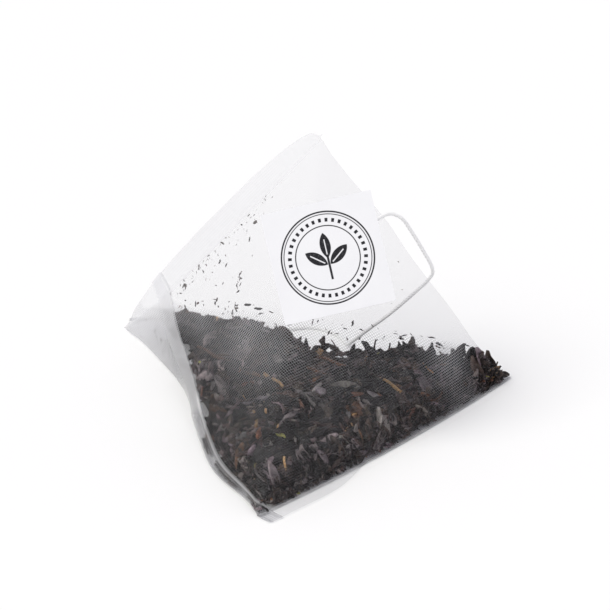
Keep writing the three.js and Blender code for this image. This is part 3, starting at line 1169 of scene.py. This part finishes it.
def make_large(kind, makers, name, material, girth, seed):
    """The larger pieces, each where its CAD solid lies."""
    rng = random.Random(seed)
    scatter = Scatter()
    nodes = sorted(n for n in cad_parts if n.startswith(kind))
    for node in nodes:
        middle, axis = node_line(node)
        low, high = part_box(node)
        length = (high - low).length
        level, up = level_part(axis).normalized(), Vector((0, 0, 1))
        turn = Matrix((level, up.cross(level), up)).transposed()
        turn = turn @ Matrix.Rotation(rng.gauss(0, 0.18), 3, "Y")
        middle.z = min(middle.z, heap_height(middle.x, middle.y) + 0.6 * MM)
        size = (length, length * girth * rng.uniform(0.8, 1.2), length * girth)
        colour = tea_colour(rng, STALK_MIX if kind == "stem" else LEAF_MIX)
        if kind == "stem":
            base = rng.choice([TAN, RUST, BROWN, RUST])
            shade = rng.uniform(0.55, 1.0)
            colour = tuple(c * shade for c in base) + (1.0,)
        scatter.add(rng.choice(makers), size, turn, middle, colour)
    piece = scatter.finish(name, material)
    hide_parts(*nodes)
    return piece


# How many crumbs cling to the film, and where.
SEAL_CRUMBS = 80
UPPER_CRUMBS = 34
FRONT_CRUMBS = 20
CLUMPS, CLUMP_CRUMBS = 11, 6
REAR_CORNER_CRUMBS = 18
BACK_WALL_BITS = 90


def make_dust():
    """Crumbs that cling to the inside of the film, most of them along the upper seal."""
    rng = random.Random(24)
    scatter = Scatter()

    def cling(around, along, size, shape):
        inner = film_point(around, along, -0.18 * MM)
        outer = film_point(around, along, 0.0)
        normal = (outer - inner).normalized()
        turn = facing(normal, rng.uniform(0, 2 * math.pi))
        scale = (size, size * rng.uniform(0.35, 0.8), size * 0.3)
        scatter.add(shape, scale, turn, inner, tea_colour(rng, LEAF_MIX), keep=False)

    def speck():
        return rng.choice(CHIPS + FLAKES)

    for _ in range(SEAL_CRUMBS):
        along = abs(rng.gauss(0.6, 2.2)) * MM + 0.5 * MM
        around = TUBE_WIDTH * min(max(rng.gauss(0.52, 0.17), 0.12), 0.95)
        cling(around, along, rng.lognormvariate(math.log(0.5), 0.5) * MM, speck())
    for _ in range(UPPER_CRUMBS):
        around = rng.uniform(0.3, 0.8) * TUBE_WIDTH
        along = rng.uniform(2, 24) * MM
        cling(around, along, rng.lognormvariate(math.log(0.7), 0.4) * MM, speck())
    for _ in range(FRONT_CRUMBS):
        around = rng.uniform(-0.45, 0.3) * TUBE_WIDTH
        along = rng.uniform(20, 50) * MM
        cling(around, along, rng.uniform(0.2, 0.5) * MM, speck())
    for _ in range(CLUMPS):
        across, down = rng.uniform(0.35, 0.8) * TUBE_WIDTH, rng.uniform(2, 19) * MM
        for _ in range(CLUMP_CRUMBS):
            cling(
                across + rng.gauss(0, 0.8) * MM,
                down + rng.gauss(0, 0.6) * MM,
                rng.uniform(0.6, 1.5) * MM,
                speck(),
            )
    # A few crumbs are caught in the pressed film at the rear corner.
    for _ in range(REAR_CORNER_CRUMBS):
        around, along = TUBE_WIDTH * rng.uniform(0.80, 0.90), rng.uniform(4.5, 10.5) * MM
        cling(around, along, rng.uniform(0.3, 0.8) * MM, speck())
    # Bits that stand against the back wall, above the tea.
    for _ in range(BACK_WALL_BITS):
        v = rng.uniform(0.08, 0.9)
        height = rng.uniform(4.5, 11.0) * (1 - 0.45 * v) * MM
        around = TUBE_WIDTH * (1 + v / 2) + height / across_upper.z
        size = rng.lognormvariate(math.log(0.9), 0.45) * MM
        cling(around, v * STRIP_HEIGHT, size, rng.choice(LEAVES + FLAKES + CHIPS))
    return scatter.finish("tea_dust", black_tea)


tea_core = make_core()
tea_top = make_top_bits()
tea_sides = make_side_bits()
leaf_finish = dry_leaf("rolled_leaf", 1.15)
stalk_finish = dry_leaf("pale_stalk", 0.9)
large_leaves = make_large("leaf", LEAVES, "large_leaves", leaf_finish, 0.62, 31)
large_stalks = make_large("stem", STALKS, "large_stalks", stalk_finish, 1.3, 32)
tea_dust = make_dust()


# ---------------- tag


def make_tag():
    shape = bmesh.new()
    uv = shape.loops.layers.uv.new("face")
    bmesh.ops.create_grid(shape, x_segments=24, y_segments=24, size=TAG_SIDE / 2)
    for face in shape.faces:
        for loop in face.loops:
            loop[uv].uv = loop.vert.co.xy
    for vert in shape.verts:
        x, y = vert.co.x / (TAG_SIDE / 2), vert.co.y / (TAG_SIDE / 2)
        curl = 0.25 * (x + y) ** 2 - 0.125 * (x - y) ** 2
        vert.co.z = TAG_CURL * curl + TAG_THICKNESS / 2
    bmesh.ops.solidify(shape, geom=shape.faces[:], thickness=TAG_THICKNESS)
    for face in shape.faces:
        face.material_index = 0 if face.normal.z > 0.5 else 1
    bmesh.ops.transform(shape, matrix=TAG_PLACE, verts=shape.verts)
    bmesh.ops.recalc_face_normals(shape, faces=shape.faces)
    return finished("paper_tag", shape, tag_paper(True), tag_paper(False), smooth=False)


tag = make_tag()


# ---------------- floor and light


FLOOR_HALF = 3
SKY_COLOUR, SKY_STRENGTH = (0.935, 0.925, 1.0, 1), 0.64
KEY_COLOUR, KEY_STRENGTH = (1.0, 0.995, 0.915), 1.86
KEY_ANGLE = math.radians(36)
KEY_FROM = Vector((-0.62, -0.42, 1.05))


def make_studio():
    shape = bmesh.new()
    bmesh.ops.create_grid(shape, x_segments=1, y_segments=1, size=FLOOR_HALF)
    floor = finished("floor", shape, studio_floor(), smooth=False)

    world = bpy.data.worlds.new("studio")
    world.use_nodes = True
    background = world.node_tree.nodes["Background"]
    background.inputs["Color"].default_value = SKY_COLOUR
    background.inputs["Strength"].default_value = SKY_STRENGTH
    bpy.context.scene.world = world

    key = bpy.data.lights.new("key", "SUN")
    key.energy = KEY_STRENGTH
    key.angle = KEY_ANGLE
    key.color = KEY_COLOUR
    lamp = bpy.data.objects.new("key", key)
    lamp.rotation_euler = KEY_FROM.normalized().to_track_quat("Z", "Y").to_euler()
    bpy.context.scene.collection.objects.link(lamp)
    return floor


floor = make_studio()
scene = bpy.context.scene
scene.view_settings.view_transform = "Standard"
scene.cycles.transparent_max_bounces = 24


# ---------------- every piece rides on the root

for piece, slot in (
    (thread, "cotton_thread"),
    (film, "nylon_mesh"),
    (tea_core, "black_tea"),
    (tea_top, "black_tea"),
    (tea_sides, "black_tea"),
    (tea_dust, "black_tea"),
    (large_leaves, "tea_leaf"),
    (large_stalks, "tea_stem"),
    (tag, "tag_paper"),
):
    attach(piece, "root")

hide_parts("mesh_bag")
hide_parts("thread")
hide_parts("tag")
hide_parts("tea_heap")

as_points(thread_line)
